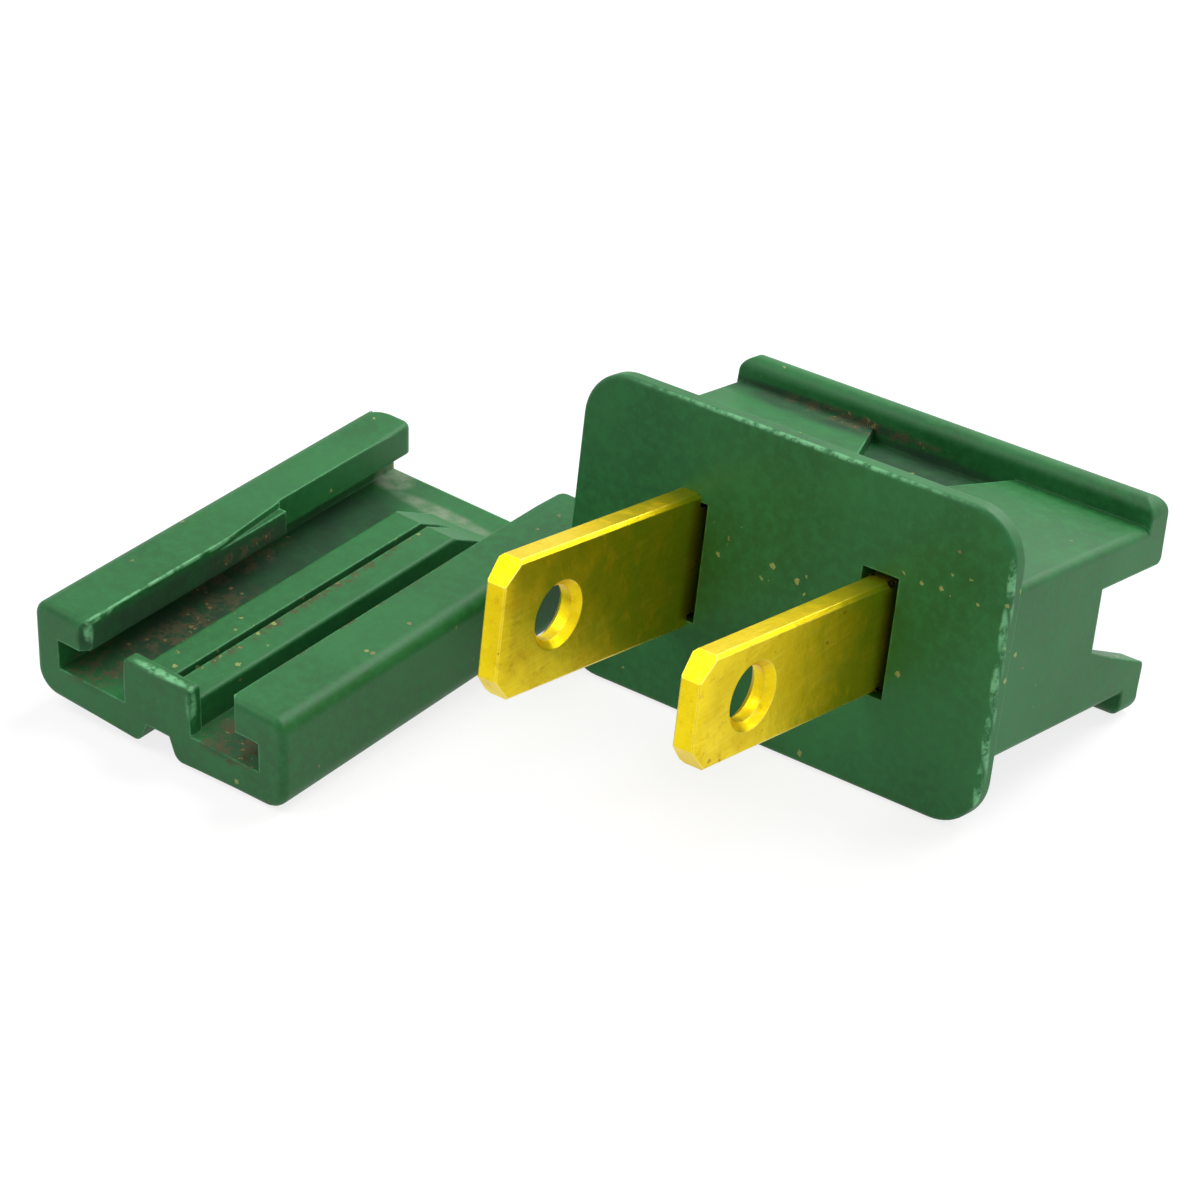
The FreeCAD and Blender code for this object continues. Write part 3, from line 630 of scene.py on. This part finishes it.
def slide_cover_marks():
    """Where dirt, dust, flash, painted shade and painted highlights lie on the slide cover: centres, and
    reaches in millimetres.
    """
    return {
        "dusty": [(on_cover(0, 4, 4), (3, 6, 1)), (on_cover(6.6, 3, 2), (1.6, 5, 0.8))],
        "gritty": [(on_cover(-7, 13.6, 2.1), (1.4, 5.5, 1.6)), (on_cover(-5, 8, 2.1), (2, 6, 0.6)),
                   (on_cover(0.4, 11, 4), (0.6, 13, 1)), (on_cover(5, 1.6, 2), (3.2, 3.6, 0.7)),
                   (on_cover(-6, 2, 2), (2.6, 3, 0.7)), (on_cover(-5.1, 13, 4.5), (0.9, 3.8, 0.6)),
                   (on_cover(LIP_EDGE, 12, 5.85), (0.3, 15, 0.3))],
        # Painted shade in the pockets and on the left lip's inner wall.
        "painted_shade": [(on_cover(-5, 11, 2), (3.6, 14, 1.3)), (on_cover(-5.5, 21, 2), (3, 6, 1.3)),
                  (on_cover(4.6, 11, 2), (2.6, 16, 1)), (on_cover(-5.2, 9, 4.5), (1, 20, 1.3))],
        # Dust, partly a painted highlight, at the ramp's foot and the left lip's far end.
        "pale": [(on_cover(-1.6, 25.9, 2.3), (5, 0.8, 0.9)), (on_cover(-6.6, 27, 2), (1.6, 1.5, 1.2))],
        # Painted highlight along the lips' inner edges, and flash with painted highlight on the near end's
        # edges.
        "flash_and_highlight": [(on_cover(-LIP_EDGE, 8, 5.87), (0.2, 16, 0.2)),
                  (on_cover(-LIP_EDGE, 1, 5.8), (0.25, 2, 0.3)),
                  (on_cover(-LIP_EDGE, 0.3, 5), (0.3, 0.5, 1.4)),
                  (on_cover(0.2, 0.3, 5), (3, 0.4, 0.25)),
                  (on_cover(2.3, 0.3, 4), (0.3, 0.4, 1.6)),
                  (on_cover(LIP_EDGE, 0.3, 5.2), (0.3, 0.5, 1.2))],
    }


def stem_corners():
    """Small patches of painted shade on the four corners where the narrow blade meets its stem."""
    along, up = STEM_CORNER
    return [(on_body(NARROW_BLADE_MIDDLE + side * along, 0, end * up), STEM_SHADE_REACH)
            for side in (-1, 1) for end in (-1, 1)]


def dress():
    """Each CAD piece gets its rounded copy and its material."""
    groups = {"specks": specks_group(), "near": near_group(), "edge_hollow": wear_group()}
    rows = [
        ("plug_body", "plug_body_moulding", from_body, BODY_ROUNDS, "body_plastic",
         green_plastic("body_plastic", groups, plug_body_marks())),
        ("slide_cover", "slide_cover_moulding", from_cover, COVER_ROUNDS, "cover_plastic",
         green_plastic("cover_plastic", groups, slide_cover_marks())),
        ("wide_blade", "wide_blade_stamping", from_body, [], "wide_blade_brass",
         brass("wide_blade_brass", groups, [])),
        ("narrow_blade", "narrow_blade_stamping", from_body, [], "narrow_blade_brass",
         brass("narrow_blade_brass", groups, stem_corners())),
    ]
    for node, name, own_place, rounds, slot, material in rows:
        piece = moulded_copy(node, name, own_place, rounds)
        give(piece, material)


set_camera()
white_floor()
white_room()
light_it()
dress()

bpy.context.scene.view_settings.view_transform = "Standard"
